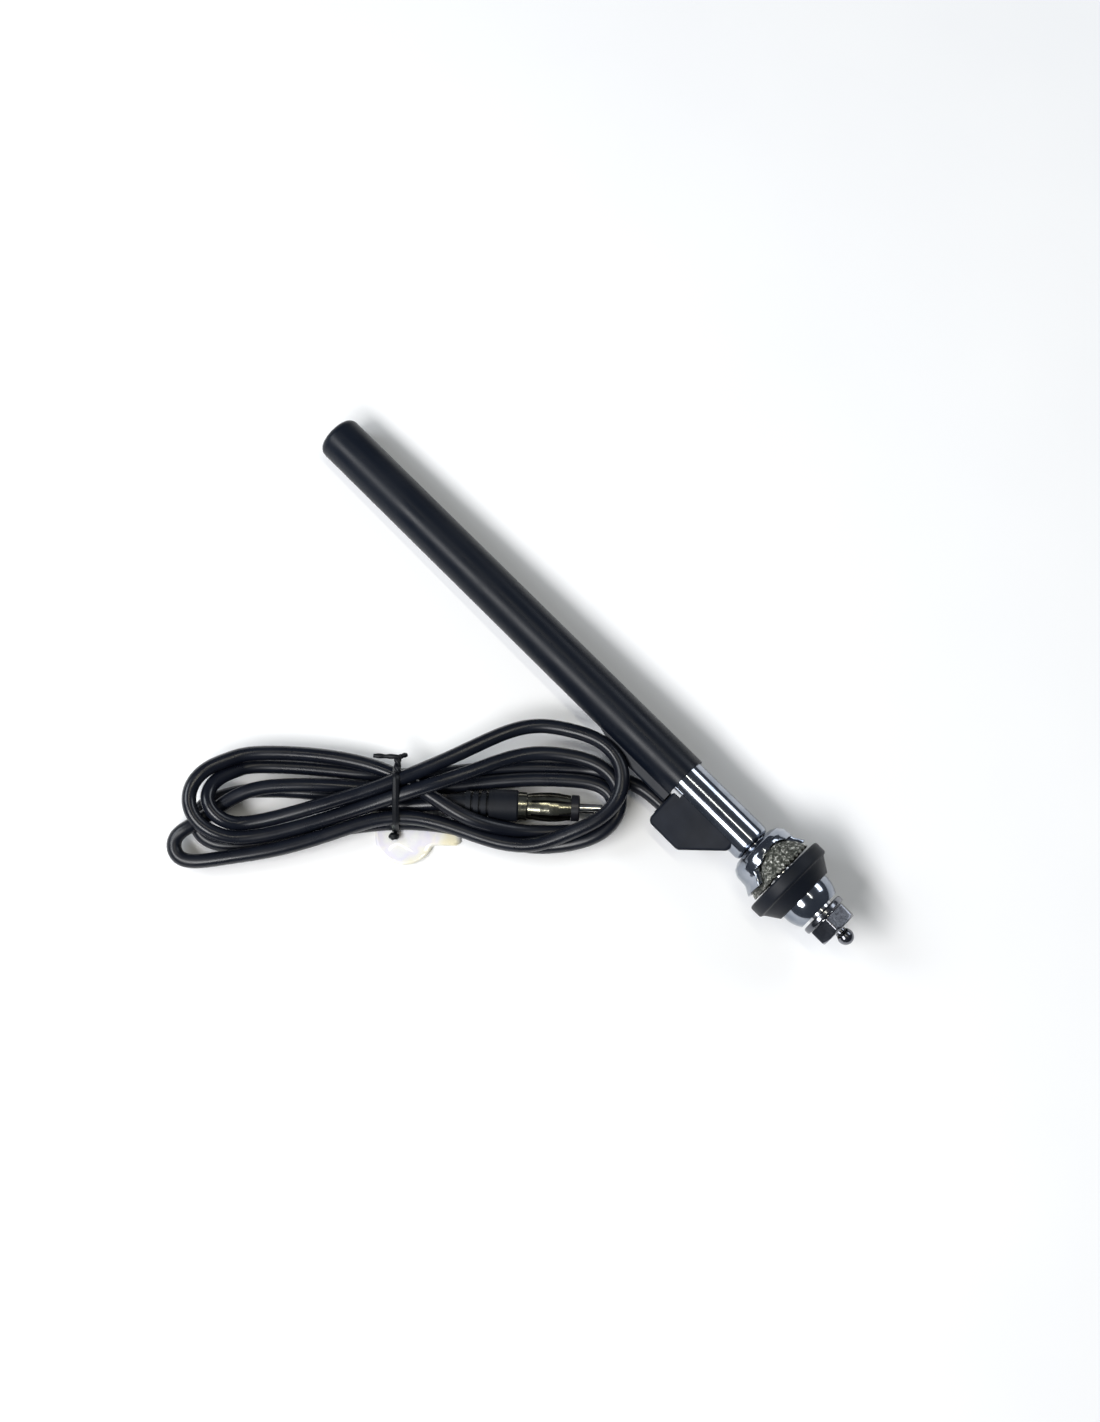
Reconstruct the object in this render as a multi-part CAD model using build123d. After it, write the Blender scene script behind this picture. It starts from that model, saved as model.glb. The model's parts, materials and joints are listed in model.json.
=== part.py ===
"""Retracted telescopic car-radio antenna with its swivel head, coax lead hank and plug.

Every antenna piece is drawn about its own long axis, X, with x = 0 at the closed end of the
sleeve and the cable block on the -Y side. place() then lays the whole antenna down on its sleeve
end, gasket and cable block. The lead, its hank and its plug are drawn where they lie.
"""
import os
from math import cos, pi, radians, sin, sqrt, tan

from build123d import *

# ---------------------------------------------------------------- how the antenna lies
TILT = 2.0                   # nose up, degrees: the gasket is wider than the sleeve
ROLL = 27.6                  # the cable block leans down to the surface, degrees
HEAD_TURN = -40.6            # swivel head turned about the tube from the cable block, degrees
ORIGIN_X = 117.94            # base centre of the antenna without its lead, from x = 0
ORIGIN_Y = -1.60
AXIS_HEIGHT = 7.47           # height of the antenna's axis at x = 0

# ---------------------------------------------------------------- tube and sleeve
SLEEVE_R = 7.5
SLEEVE_LENGTH = 163.0
SLEEVE_WALL = 0.7
SLEEVE_END_WALL = 1.2
SLEEVE_CORNER = 2.6
RIB_START = 131.0            # flat rib that the sleeve swells into beside the cable block
RIB_FULL = 143.0
RIB_PROUD = 1.9
RIB_WIDTH = 9.0

TUBE_R = 6.75
TUBE_WALL = 0.6
TUBE_START = 2.6
TUBE_END = 193.3
SHOULDER_R = 1.8

LINER_R = 6.1
LINER_WALL = 0.42
CONTACT_R = 5.62
CONTACT_BORE_R = 5.35
CONTACT_START = 9.0
CONTACT_END = 186.5

NECK_R = 4.75
NECK_BORE_R = 4.15
NECK_FLANGE_R = 6.05
NECK_START = 188.0
NECK_FLANGE_END = 191.4
NECK_END = 229.6
BUSH_R = 4.1
BUSH_BORE_R = 3.6
RUNNING_GAP = 0.1            # radial play of the nut, washer and mast on what they run on

# ---------------------------------------------------------------- cable block
BLOCK_REAR = 163.6
BLOCK_KNEE = 177.0
BLOCK_FRONT = 188.8
BLOCK_OUT = 17.2
BLOCK_SEAM = 1.7
BLOCK_HALF = 6.4
BLOCK_CORNER = 2.2
BLOCK_WALL = 1.3
LID_THICK = 1.2
CABLE_OUT = 11.8             # distance of the cable's hole from the antenna axis
FEED_X = 176.0               # where the centre conductor enters the tube
FEED_R = 0.5
STRAP_START = 163.05         # earth strap on the tube, its edge showing behind the block
STRAP_END = 166.4
STRAP_THICK = 0.6

# ---------------------------------------------------------------- swivel head
ROCK_X = 207.0               # axis that the claw rocks about in the saddle
BALL_X = 216.5               # centre of the ball cap, and axis of the gasket's swivel
BALL_R = 9.3
BALL_WALL = 1.0
BALL_TOP = 222.0
BALL_OPEN = 211.2
SOCKET_R = 9.65
SADDLE_START = 193.45
SADDLE_TOP = 203.9
SADDLE_ARC_R = 9.4
ARM_HALF = 6.6
CLAW_R = 9.0
CLAW_TOP = 205.6
CLAW_LOW_REACH = 9.6
CLAW_TOP_REACH = 13.6
CLAW_SLOT_HALF = 6.7
TOOTH_HEIGHT = 0.9
TOOTH_PITCH = 1.9
GASKET_START = 206.2
GASKET_R = 14.6
GASKET_HOLE_R = 6.7
GASKET_RIM_END = 210.8
GASKET_TOP = 215.6
GASKET_TOP_R = 10.3
SWIVEL_RANGE = 8.0           # degrees each way

# ---------------------------------------------------------------- nut and washer
WASHER_START = 222.9
WASHER_END = 225.1
WASHER_R = 7.7
NUT_START = 225.2
NUT_END = 230.8
NUT_FLATS = 13.0
NUT_TURN = -15.6             # a corner of the nut faces up
NUT_PITCH = 1.0

# ---------------------------------------------------------------- mast
MAST_R = (3.5, 2.75, 2.05, 1.25)       # outside radii, largest first; the last is a rod
MAST_BORE_R = (3.1, 2.4, 1.7)
MAST_START = (10.5, 12.5, 14.5, 16.5)
MAST_END = (229.4, 229.9, 230.4, 231.2)
CRIMP_LENGTH = 4.0
GUIDE_R = (5.2, 3.0, 2.3, 1.6)         # spring guides that hold each section in the one outside
GUIDE_LENGTH = 6.0
MAST_TRAVEL = (170.0, 200.0, 200.0, 200.0)
TIP_X = 233.55
TIP_R = 2.65

# ---------------------------------------------------------------- lead, hank and plug
CORD_D = 4.7
HANK_TURN = 45.0             # the hank's long direction in plan, degrees from +X
HANK_X = -16.1               # middle of the hank
HANK_Y = -66.7
HANK_HEIGHT = 17.0
TIE_U = -1.3                 # the tie's place along the hank
TIE_WIDTH = 2.2
TIE_THICK = 0.8
TIE_TOP = 13.6                # inside top of the tie's band
TIE_HALF = 10.8               # half its inside width
PLUG_W = -2.6                # the plug's line, across the hank
PLUG_TURN = -1.7
PLUG_Z = 5.3
BOOT_START = 15.0
BOOT_NECK = 21.2
BOOT_BODY = 28.8
BOOT_END = 38.2
SHELL_END = 55.2
RING_END = 57.9
PIN_END = 65.6
BOOT_R = 5.15
RIB_R = 4.5
SHELL_R = 4.2
SHELL_BULGE_R = 4.75
SHELL_BORE_R = 3.6
RING_R = 4.25
PIN_R = 1.65
PIN_SHANK_R = 1.4            # the pin inside the shell, thinner than its free end

os.makedirs("parts", exist_ok=True)


# ================================================================ helpers
def lathe(*corners):
    """Solid turned about the X axis from (x, radius) corner points."""
    return revolve(make_face(Polyline(*corners, close=True)), Axis.X)


def ring(start, end, outer, inner):
    """Plain tube along X."""
    return lathe((start, inner), (end, inner), (end, outer), (start, outer))


def rod(start, end, radius):
    """Plain round bar along X."""
    return Pos((start + end) / 2, 0, 0) * Rot(0, 90, 0) * Cylinder(radius, end - start)


def block(x0, x1, y0, y1, z0, z1):
    """Box between two opposite corners."""
    size = (x1 - x0, y1 - y0, z1 - z0)
    return Pos((x0 + x1) / 2, (y0 + y1) / 2, (z0 + z1) / 2) * Box(*size)


def place(part):
    """Lay a piece of the antenna down on the surface."""
    lying = Rot(0, -TILT, 0) * Rot(ROLL, 0, 0)
    return Pos(-ORIGIN_X, -ORIGIN_Y, AXIS_HEIGHT) * lying * part


def place_head(part):
    """Lay down a piece of the swivel head, drawn with its swivel axis along Z."""
    return place(Rot(HEAD_TURN, 0, 0) * part)


def place_hank(part):
    """Lay down a piece drawn in the hank's own plan, u along it and w across it."""
    return Pos(HANK_X, HANK_Y, 0) * Rot(0, 0, HANK_TURN) * part


def place_plug(part):
    """Lay down a piece of the plug, drawn about the X axis with x counted along the hank."""
    line = Pos(BOOT_NECK, PLUG_W, PLUG_Z) * Rot(0, 0, PLUG_TURN) * Pos(-BOOT_NECK, 0, 0)
    return place_hank(line * part)


# ================================================================ tube and sleeve
def dust_sleeve():
    """Closed plastic sleeve over the tube, with the flat rib beside the cable block."""
    shell = lathe((0, 0), (0, SLEEVE_R), (SLEEVE_LENGTH, SLEEVE_R), (SLEEVE_LENGTH, 0))
    shell = fillet(shell.edges().sort_by(Axis.X)[0], SLEEVE_CORNER)
    outside = -(SLEEVE_R + RIB_PROUD)
    inside = -SLEEVE_R * 0.7
    start = -sqrt(SLEEVE_R ** 2 - (RIB_WIDTH / 2) ** 2)
    outline = Polyline((RIB_START, start), (RIB_FULL, outside), (SLEEVE_LENGTH, outside),
                       (SLEEVE_LENGTH, inside), (RIB_START, inside), close=True)
    rib = Pos(0, 0, -RIB_WIDTH / 2) * extrude(make_face(outline), RIB_WIDTH)
    rib = fillet(rib.faces().sort_by(Axis.Y)[0].edges().filter_by(Axis.X), 1.0)
    bore_r = SLEEVE_R - SLEEVE_WALL
    bore = rod(SLEEVE_END_WALL, SLEEVE_LENGTH + 1, bore_r)
    return shell + rib - bore


def body_tube():
    """Chromed outer tube with a rounded shoulder that holds the neck's flange in."""
    outside = lathe((TUBE_START, 0), (TUBE_START, TUBE_R), (TUBE_END, TUBE_R), (TUBE_END, 0))
    outside = fillet(outside.edges().sort_by(Axis.X)[-1], SHOULDER_R)
    bore = rod(TUBE_START - 1, NECK_FLANGE_END + 0.05, TUBE_R - TUBE_WALL)
    mouth = rod(TUBE_START, TUBE_END + 1, NECK_R + 0.05)
    feed_hole = Pos(FEED_X, -TUBE_R, 0) * Rot(90, 0, 0) * Cylinder(1.6, 3)
    return outside - bore - mouth - feed_hole


def tube_liner():
    """Plastic insulating liner between the outer tube and the contact tube."""
    start = TUBE_START + 4.2
    liner = ring(start, NECK_START - 0.2, LINER_R, LINER_R - LINER_WALL)
    feed_hole = Pos(FEED_X, -LINER_R, 0) * Rot(90, 0, 0) * Cylinder(1.0, 3)
    return liner - feed_hole


def contact_tube():
    """Brass tube that the mast's lowest spring guide slides in and feeds the signal to."""
    tube = ring(CONTACT_START, CONTACT_END, CONTACT_R, CONTACT_BORE_R)
    solder_hole = Pos(FEED_X, -CONTACT_R, 0) * Rot(90, 0, 0) * Cylinder(FEED_R, 3)
    return tube - solder_hole


def end_plug():
    """Plug in the tube's closed end, under the sleeve."""
    body = lathe((TUBE_START + 0.2, 0), (TUBE_START + 0.2, 6.05), (6.6, 6.05), (6.6, 5.2),
                 (8.8, 5.2), (8.8, 0))
    return body


def threaded_neck():
    """Neck through the fender hole; its flange is held under the tube's shoulder."""
    return lathe((NECK_START, NECK_BORE_R), (NECK_START, NECK_FLANGE_R),
                 (NECK_FLANGE_END, NECK_FLANGE_R), (NECK_FLANGE_END, NECK_R),
                 (NECK_END - 0.6, NECK_R), (NECK_END, NECK_R - 0.5), (NECK_END, NECK_BORE_R))


def neck_bush():
    """Insulating bush that keeps the mast off the earthed neck."""
    return ring(NECK_START, NECK_END + 0.5, BUSH_R, BUSH_BORE_R)


# ================================================================ cable block
def block_outline(inset):
    """Plan outline of the cable block, moved in by a wall's thickness."""
    seam = -BLOCK_SEAM
    slope = tan(radians(22.5)) * inset
    front = -(BLOCK_OUT - (BLOCK_FRONT - BLOCK_KNEE))
    rear = BLOCK_REAR + inset
    out = -(BLOCK_OUT - inset)
    knee = BLOCK_KNEE - slope
    nose = BLOCK_FRONT - inset
    return [(rear, seam), (rear, out), (knee, out), (nose, front + slope), (nose, seam)]


def block_housing():
    """Moulded housing that wraps half of the tube and holds the end of the cable."""
    solid = extrude(make_face(Polyline(*block_outline(0), close=True)), 2 * BLOCK_HALF)
    solid = Pos(0, 0, -BLOCK_HALF) * solid
    corners = solid.edges().filter_by(Axis.Z).sort_by(Axis.Y)[:3]
    solid = fillet(corners, BLOCK_CORNER)
    rim = [e for e in solid.edges() if e.center().Y < -BLOCK_SEAM - 0.1
           and abs(abs(e.center().Z) - BLOCK_HALF) < 0.01]
    solid = fillet(rim, 1.1)
    cavity = extrude(make_face(Polyline(*block_outline(BLOCK_WALL), close=True)),
                     2 * BLOCK_HALF - BLOCK_WALL)
    cavity = Pos(0, 0, -BLOCK_HALF) * cavity
    cavity -= rod(BLOCK_REAR, BLOCK_FRONT, TUBE_R + BLOCK_WALL)
    lid_seat = block(0, 300, -(TUBE_R + BLOCK_WALL), 0, -BLOCK_HALF, -BLOCK_HALF + LID_THICK)
    cavity -= lid_seat
    tube_bore = rod(BLOCK_REAR - 1, BLOCK_FRONT + 1, TUBE_R + 0.05)
    tube_bore += rod(BLOCK_REAR - 1, STRAP_END + 0.1, TUBE_R + STRAP_THICK + 0.1)
    cable_hole = Pos(BLOCK_REAR, -CABLE_OUT, 0) * Rot(0, 90, 0) * Cylinder(3.2, 6)
    feed_slot = block(FEED_X - 1.5, FEED_X + 1.5, -(TUBE_R + BLOCK_WALL + 1), -TUBE_R, -1.5, 1.5)
    return solid - cavity - tube_bore - cable_hole - feed_slot


def block_lid():
    """Flat cover on the underside of the cable block."""
    gap = 0.05
    plate = extrude(make_face(Polyline(*block_outline(BLOCK_WALL + gap), close=True)),
                    LID_THICK - gap)
    plate = Pos(0, 0, -BLOCK_HALF) * plate
    return plate - block(0, 300, -(TUBE_R + BLOCK_WALL + gap), 5, -20, 20)


def cable_grommet():
    """Rubber ring round the cable in the rear wall of the block."""
    hole_r = 3.15
    cable_r = CORD_D / 2 + 0.15
    grommet = lathe((-0.5, cable_r), (-0.5, hole_r + 0.35), (-0.05, hole_r + 0.35), (-0.05, hole_r),
                    (BLOCK_WALL + 0.05, hole_r), (BLOCK_WALL + 0.05, hole_r + 0.5),
                    (BLOCK_WALL + 0.8, hole_r + 0.5), (BLOCK_WALL + 0.8, cable_r))
    return Pos(BLOCK_REAR, -CABLE_OUT, 0) * grommet


def braid_ferrule():
    """Crimped ferrule that earths the cable's braid."""
    return Pos(0, -CABLE_OUT, 0) * ring(BLOCK_REAR + 3, BLOCK_REAR + 9, 2.6, 1.5)


def cable_core():
    """Insulated core of the cable inside the block, through the ferrule."""
    return Pos(0, -CABLE_OUT, 0) * rod(BLOCK_REAR + 2.9, FEED_X + 0.8, 1.45)


def feed_wire():
    """Centre conductor bent from the cable into the contact tube."""
    length = CABLE_OUT - 1.5 - CONTACT_BORE_R - 0.05
    return Pos(FEED_X, -(CABLE_OUT - 1.5) + length / 2, 0) * Rot(90, 0, 0) * Cylinder(FEED_R, length)


def earth_strap():
    """Metal strap that earths the tube, its rear edge showing beside the block."""
    inner = TUBE_R + 0.03
    strap = ring(STRAP_START, STRAP_END, TUBE_R + STRAP_THICK, inner)
    return strap & block(STRAP_START, STRAP_END, -10, -1.9, -5.5, 10)


# ================================================================ swivel head
def swivel_saddle():
    """Chromed cradle with two rounded arms and a round seat that the claw rocks in."""
    profile = [(SADDLE_START, NECK_R + 0.05), (SADDLE_START, 7.4), (194.6, 9.6), (196.4, 10.7),
               (198.6, 10.9), (200.3, 11.0), (202.2, 12.0), (SADDLE_TOP, 12.9),
               (SADDLE_TOP, NECK_R + 0.05)]
    base = lathe(*profile)
    seat = Pos(ROCK_X, 0, 0) * Cylinder(SADDLE_ARC_R, 60)
    upper = block(199.4, 210, -30, 30, -30, 30) - block(199, 211, -30, 30, -ARM_HALF, ARM_HALF)
    chamfer_cut = []
    for side in (1, -1):
        wedge = Polyline((SADDLE_TOP - 0.9, side * 14), (SADDLE_TOP + 0.1, side * 9.0),
                         (SADDLE_TOP + 1, side * 14), close=True)
        chamfer_cut.append(Pos(0, 0, -30) * extrude(make_face(wedge), 60))
    return base - seat - upper - chamfer_cut[0] - chamfer_cut[1]


def claw():
    """Half-round rocker with a toothed top that bites the underside of a panel."""
    low = ROCK_X - CLAW_R - 1
    cone = lathe((low, 0), (low, CLAW_LOW_REACH), (CLAW_TOP, CLAW_TOP_REACH), (CLAW_TOP, 0))
    body = cone & (Pos(ROCK_X, 0, 0) * Cylinder(CLAW_R, 60))
    top_half = TOOTH_PITCH * 4.5
    body -= block(ROCK_X - 20, ROCK_X + 20, -CLAW_SLOT_HALF, CLAW_SLOT_HALF,
                  -NECK_R - 0.9, NECK_R + 0.9)
    for i in range(9):
        y = -top_half + TOOTH_PITCH * (i + 0.5)
        notch = Polyline((CLAW_TOP + 0.5, y - TOOTH_PITCH / 2), (CLAW_TOP + 0.5, y + TOOTH_PITCH / 2),
                         (CLAW_TOP - TOOTH_HEIGHT, y), close=True)
        body -= Pos(0, 0, -30) * extrude(make_face(notch), 60)
    return body


def gasket():
    """Rubber gasket whose socket the ball cap turns in."""
    corner = 0.5
    body = lathe((GASKET_START, 0), (GASKET_START, GASKET_R - corner),
                 (GASKET_START + corner, GASKET_R), (GASKET_RIM_END - corner, GASKET_R),
                 (GASKET_RIM_END, GASKET_R - corner), (GASKET_RIM_END, GASKET_R - 1.1),
                 (GASKET_TOP, GASKET_TOP_R), (GASKET_TOP, 0))
    socket = Pos(BALL_X, 0, 0) * Sphere(SOCKET_R)
    return body - socket - rod(GASKET_START - 1, BALL_X, GASKET_HOLE_R)


def ball_cap():
    """Chromed spherical cap that the washer presses into the gasket."""
    ball = Pos(BALL_X, 0, 0) * Sphere(BALL_R)
    ball &= rod(BALL_OPEN, BALL_TOP, 20)
    hollow = Pos(BALL_X, 0, 0) * Sphere(BALL_R - BALL_WALL)
    hollow &= rod(BALL_OPEN - 1, BALL_TOP - BALL_WALL, 20)
    return ball - hollow - rod(BALL_OPEN - 2, BALL_TOP + 1, NECK_R + 0.05)


# ================================================================ nut and washer
def clamp_washer():
    """Thick washer that rides up and down the neck with the nut."""
    edge = 0.4
    return lathe((WASHER_START, NECK_R + RUNNING_GAP), (WASHER_START, WASHER_R - edge),
                 (WASHER_START + edge, WASHER_R), (WASHER_END - edge, WASHER_R),
                 (WASHER_END, WASHER_R - edge), (WASHER_END, NECK_R + RUNNING_GAP))


def hex_nut():
    """Hexagon nut with a chamfered top."""
    across_corners = NUT_FLATS / cos(pi / 6)
    hexagon = RegularPolygon(across_corners / 2, 6)
    body = Pos(NUT_START, 0, 0) * Rot(0, 90, 0) * extrude(hexagon, NUT_END - NUT_START)
    edge = across_corners / 2 - NUT_FLATS / 2
    limit = lathe((NUT_START, 0), (NUT_START, across_corners / 2 + 0.1),
                  (NUT_END - edge * 0.9, across_corners / 2 + 0.1),
                  (NUT_END, NUT_FLATS / 2 - 0.1), (NUT_END, 0))
    return (body & limit) - rod(NUT_START - 1, NUT_END + 1, NECK_R + RUNNING_GAP)


# ================================================================ mast
def mast_tube(i):
    """Telescopic section with a crimped mouth that holds in the section inside it."""
    crimp_r = MAST_R[i + 1] + RUNNING_GAP
    crimp = MAST_END[i] - CRIMP_LENGTH
    return lathe((MAST_START[i], MAST_BORE_R[i]), (MAST_START[i], MAST_R[i]),
                 (MAST_END[i] - 0.4, MAST_R[i]), (MAST_END[i], MAST_R[i] - 0.3),
                 (MAST_END[i], crimp_r), (crimp, crimp_r), (crimp, MAST_BORE_R[i]))


def mast_rod():
    """Solid innermost section."""
    return rod(MAST_START[3], MAST_END[3] - 0.3, MAST_R[3])


def mast_guide(i):
    """Spring guide crimped round the foot of a section, barrelled to grip the bore it runs in."""
    start = MAST_START[i] + 0.6
    end = start + GUIDE_LENGTH
    taper = 0.4 * (GUIDE_R[i] - MAST_R[i])
    return lathe((start, MAST_R[i] + 0.02), (start, GUIDE_R[i] - taper), (start + 1.2, GUIDE_R[i]),
                 (end - 1.2, GUIDE_R[i]), (end, GUIDE_R[i] - taper), (end, MAST_R[i] + 0.02))


def tip_ball():
    """Ball on the end of the mast, with the collar that joins it to the rod."""
    ball = Pos(TIP_X, 0, 0) * Sphere(TIP_R)
    collar = rod(MAST_END[3] - 0.2, TIP_X, 1.9)
    tip = ball + collar
    return tip & rod(MAST_END[3] - 0.2, TIP_X + 10, 10)


# ================================================================ lead, hank and plug
def antenna_point(x, y, z):
    """Where a point of the antenna's own frame lies once it is laid down."""
    return place(Pos(x, y, z) * Box(0.01, 0.01, 0.01)).center()


# Route of the lead from the grommet into the hank.
LEAD_ROUTE = [(48.6, -8.86, 7.82), (41.0, -8.86, 7.55), (34.0, -10.4, 6.4), (27.2, -13.4, 4.8)]

# Plan outline of the hank, (u, w), anticlockwise from its left end.
HANK_OUTLINE = [(-74.5, -18.5), (-69, -24.0), (-52, -20.5), (-32, -16.5), (-8, -12.4), (14, -10.8),
                (33, -15), (51, -19), (65, -15), (74.4, -5), (73.6, 5), (67, 15), (56, 22.6),
                (42, 25.4), (27, 21), (9, 10.6), (-6, 11.8), (-24, 15.6), (-46, 15.2),
                (-64, 8.5), (-70.5, -2), (-71.5, -10)]


def free_lead():
    """Stretch of the lead between the cable block and the hank."""
    route = [Vector(*p) for p in LEAD_ROUTE]
    radii = []
    for before, at, after in zip(route, route[1:], route[2:]):
        turn = radians((at - before).get_angle(after - at))
        shorter = min((at - before).length, (after - at).length)
        radii.append(0.45 * shorter / tan(turn / 2))
    path = FilletPolyline(*route, radius=radii)
    section = Plane(origin=path @ 0, z_dir=path % 0) * Circle(CORD_D / 2)
    tube = sweep(section, path=path)
    expected = pi * CORD_D ** 2 / 4 * path.length
    print("lead radii", [round(r, 1) for r in radii], "length", round(path.length, 1),
          "volume ratio", round(tube.volume / expected, 4))
    return tube


def lead_hank():
    """Outer shape of the hank, with the well that the plug lies in."""
    outline = Spline(*HANK_OUTLINE, periodic=True)
    body = extrude(make_face(outline), HANK_HEIGHT)
    well_mid = (BOOT_START + PIN_END) / 2
    well = Pos(well_mid, PLUG_W - 0.6, 10) * Box(PIN_END - BOOT_START + 0.8, 12.4, 60)
    pin_path = block(PIN_END, 90, PLUG_W - 4.6, PLUG_W + 1.8, -1, 9.2)
    return place_hank(body - well - pin_path - tie_space())


def tie_space():
    """Groove that the tie takes out of the hank."""
    return tie_band(TIE_WIDTH + 0.1, 6.0)


def tie_band(width, outer_grow):
    """Band round the hank's waist, thickened outwards to cut the groove for it."""
    grow = TIE_THICK + outer_grow
    outer = block(TIE_U - width / 2, TIE_U + width / 2, -TIE_HALF - grow, TIE_HALF + grow,
                  TIE_THICK - grow, TIE_TOP + grow)
    return outer - block(TIE_U - width, TIE_U + width, -TIE_HALF, TIE_HALF, TIE_THICK, TIE_TOP)


def twist_tie():
    """Wire tie round the waist of the hank, with its twisted tail."""
    band = tie_band(TIE_WIDTH, 0.0)
    tail = block(TIE_U - TIE_WIDTH / 2, TIE_U + TIE_WIDTH / 2, TIE_HALF + 0.5, TIE_HALF + 4.4,
                 TIE_TOP - 2.4, TIE_TOP + 0.2)
    return place_hank(band + tail)


def blank_tag():
    """Round paper tag with a short tail, tucked under the hank."""
    disc = Pos(1.6, -12.2, 0) * Cylinder(9.8, 0.4, align=(Align.CENTER, Align.CENTER, Align.MIN))
    tail = block(1.6, 19.8, -15.6, -8.6, 0, 0.4)
    slot = block(TIE_U - TIE_WIDTH / 2 - 0.1, TIE_U + TIE_WIDTH / 2 + 0.1, -TIE_HALF - TIE_THICK - 0.1, 0,
                 -1, 1)
    return place_hank(disc + tail - slot)


def plug_boot():
    """Moulded boot of the plug: tapered tail, ribbed grip and body."""
    corners = [(BOOT_START, 0), (BOOT_START, 2.9), (BOOT_NECK, 3.6)]
    rib = (BOOT_BODY - BOOT_NECK) / 3
    for i in range(3):
        x = BOOT_NECK + i * rib
        corners += [(x, RIB_R), (x + rib * 0.62, RIB_R), (x + rib * 0.62, RIB_R - 0.7),
                    (x + rib, RIB_R - 0.7)]
    corners += [(BOOT_BODY, BOOT_R), (BOOT_END - 0.5, BOOT_R), (BOOT_END, BOOT_R - 0.5), (BOOT_END, 0)]
    return place_plug(lathe(*corners))


def plug_shell():
    """Slotted, barrelled earth shell of the plug."""
    start = BOOT_END + 0.02
    mid = (start + SHELL_END) / 2 + 1.5
    shell = lathe((start, SHELL_BORE_R), (start, SHELL_R + 0.35), (start + 2.6, SHELL_R + 0.35),
                  (start + 3.0, SHELL_R), (mid - 3, SHELL_BULGE_R - 0.15), (mid, SHELL_BULGE_R),
                  (mid + 3, SHELL_BULGE_R - 0.15), (SHELL_END - 0.1, SHELL_R - 0.2),
                  (SHELL_END - 0.1, SHELL_BORE_R - 0.1), (mid, SHELL_BORE_R + 0.5))
    for i in range(3):
        slot = block(start + 4.2, SHELL_END + 1, -6, 6, -0.45, 0.45)
        shell -= Rot(60 * i + 15, 0, 0) * slot
    return place_plug(shell)


def plug_insulator():
    """Insulating core with the ring that shows at the front of the shell."""
    bore = PIN_SHANK_R + 0.02
    core = lathe((BOOT_END + 0.02, bore), (BOOT_END + 0.02, 3.2), (SHELL_END, 3.2),
                 (SHELL_END, RING_R), (RING_END - 0.4, RING_R), (RING_END, RING_R - 0.4),
                 (RING_END, bore))
    return place_plug(core)


def plug_pin():
    """Centre pin of the plug with a rounded nose."""
    pin = fillet(rod(RING_END + 0.02, PIN_END, PIN_R).edges().sort_by(Axis.X)[-1], 0.9)
    pin += rod(BOOT_END + 0.02, RING_END + 0.1, PIN_SHANK_R)
    return place_plug(pin)


# ================================================================ build and write
def antenna_nodes():
    """All pieces of the antenna itself, laid down."""
    nodes = {
        "dust_sleeve": place(dust_sleeve()),
        "body_tube": place(body_tube()),
        "tube_liner": place(tube_liner()),
        "contact_tube": place(contact_tube()),
        "tube_end_plug": place(end_plug()),
        "threaded_neck": place(threaded_neck()),
        "neck_bush": place(neck_bush()),
        "cable_block": place(block_housing()),
        "cable_block_lid": place(block_lid()),
        "cable_grommet": place(cable_grommet()),
        "braid_ferrule": place(braid_ferrule()),
        "cable_core": place(cable_core()),
        "feed_wire": place(feed_wire()),
        "earth_strap": place(earth_strap()),
        "swivel_saddle": place_head(swivel_saddle()),
        "ball_cap": place(ball_cap()),
        "claw": place_head(claw()),
        "gasket": place_head(gasket()),
        "clamp_washer": place(clamp_washer()),
        "hex_nut": place(Rot(NUT_TURN, 0, 0) * hex_nut()),
    }
    for i in range(3):
        nodes[f"mast_section_{i + 1}"] = place(mast_tube(i))
    nodes["mast_rod"] = place(mast_rod())
    for i in range(4):
        nodes[f"mast_guide_{i + 1}"] = place(mast_guide(i))
    nodes["tip_ball"] = place(tip_ball())
    return nodes


def cord_nodes():
    """The lead and everything on it."""
    return {
        "lead": free_lead(),
        "lead_hank": lead_hank(),
        "twist_tie": twist_tie(),
        "blank_tag": blank_tag(),
        "plug_boot": plug_boot(),
        "plug_shell": plug_shell(),
        "plug_insulator": plug_insulator(),
        "plug_pin": plug_pin(),
    }


def report_places(antenna):
    """Print what the record needs: the box, the joint axes and the mount places."""
    box = Compound(children=list(antenna.values())).bounding_box()
    print("box", box.min, box.max)
    print("axis", Vector(cos(radians(TILT)), 0, sin(radians(TILT))))
    turn = radians(ROLL + HEAD_TURN)
    lean = radians(TILT)
    print("swivel axis", Vector(-sin(lean) * cos(turn), -sin(turn), cos(lean) * cos(turn)))
    for name, x in (("rock", ROCK_X), ("ball", BALL_X), ("nut", NUT_START), ("seat", GASKET_START)):
        print(name, antenna_point(x, 0, 0))
    print("cable exit", antenna_point(BLOCK_REAR - 0.7, -CABLE_OUT, 0))
    print("pin middle", place_plug(Pos((RING_END + PIN_END) / 2, 0, 0) * Box(1, 1, 1)).center())
    print("swivel range", SWIVEL_RANGE, "nut pitch", NUT_PITCH, "mast travel", MAST_TRAVEL)
    for name in ("dust_sleeve", "gasket", "cable_block", "cable_block_lid"):
        print(name, "lowest", round(antenna[name].bounding_box().min.Z, 3))


def main():
    antenna = antenna_nodes()
    nodes = {**antenna, **cord_nodes()}
    for name, part in nodes.items():
        export_step(part, f"parts/{name}.step")
    report_places(antenna)


main()
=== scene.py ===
"""Looks of a retracted telescopic car-radio antenna: its coax lead in a tied hank, and its plug.

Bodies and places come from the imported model. Lengths below are in millimetres and are scaled
by MM where they become mesh or curve points. The antenna lies along +X, head at the +X end.
"""
import json
from math import cos, pi, radians, sin

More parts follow.
